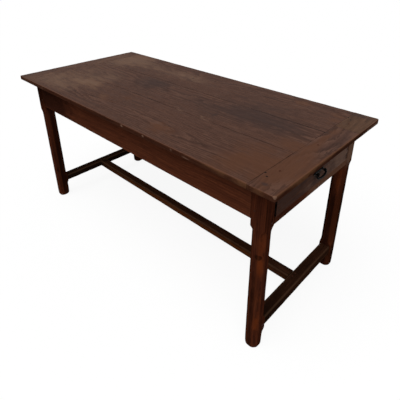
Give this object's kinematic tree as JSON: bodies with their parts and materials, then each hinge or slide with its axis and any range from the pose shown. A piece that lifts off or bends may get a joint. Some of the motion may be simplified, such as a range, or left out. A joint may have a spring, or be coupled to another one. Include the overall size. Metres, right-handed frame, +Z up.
{
  "type": "farmhouse table",
  "caption": "Long dark wood farmhouse dining table with pegged chamfered legs, an H stretcher, breadboard ends and an end drawer with an iron drop handle.",
  "frame": {"origin": "middle of the footprint, on the floor", "axes": "+X along the table towards the drawer end, +Y across it towards the back, +Z up"},
  "size_m": [1.644, 0.744, 0.76],
  "materials": {
    "top_wood": "waxed",
    "patch_wood": "waxed",
    "frame_wood": "waxed",
    "drawer_wood": "waxed",
    "inner_wood": "bare",
    "peg_wood": "waxed",
    "iron": "blackened"
  },
  "bodies": {
    "table": {"front_board": "top_wood", "middle_board": "top_wood", "back_board": "top_wood", "left_end_board": "top_wood", "right_end_board": "top_wood", "right_end_patch": "patch_wood", "end_board_pegs": "peg_wood", "top_nails": "iron", "front_left_leg": "frame_wood", "front_right_leg": "frame_wood", "back_left_leg": "frame_wood", "back_right_leg": "frame_wood", "front_apron": "frame_wood", "back_apron": "frame_wood", "left_end_apron": "frame_wood", "lower_drawer_rail": "frame_wood", "upper_drawer_rail": "frame_wood", "cross_rail": "inner_wood", "front_runner": "inner_wood", "back_runner": "inner_wood", "front_guide": "inner_wood", "back_guide": "inner_wood", "front_kicker": "inner_wood", "back_kicker": "inner_wood", "drawer_stops": "inner_wood", "left_stretcher": "frame_wood", "right_stretcher": "frame_wood", "long_stretcher": "frame_wood", "leg_pegs": "peg_wood", "stretcher_pegs": "peg_wood"},
    "drawer": {"drawer_front": "drawer_wood", "drawer_near_side": "inner_wood", "drawer_far_side": "inner_wood", "drawer_back": "inner_wood", "drawer_bottom": "inner_wood", "handle_plate": "iron", "handle_posts": "iron", "handle_nuts": "iron"},
    "bail": {"handle_bail": "iron"}
  },
  "joints": [
    {"name": "drawer_slide", "type": "slide", "parent": "table", "child": "drawer", "axis": [1, 0, 0], "range_m": [0, 0.36]},
    {"name": "bail_swing", "type": "hinge", "parent": "drawer", "child": "bail", "pos_m": [0.775, 0.009, 0.6513], "axis": [0, -1, 0], "range_deg": [-38, 120]}
  ]
}
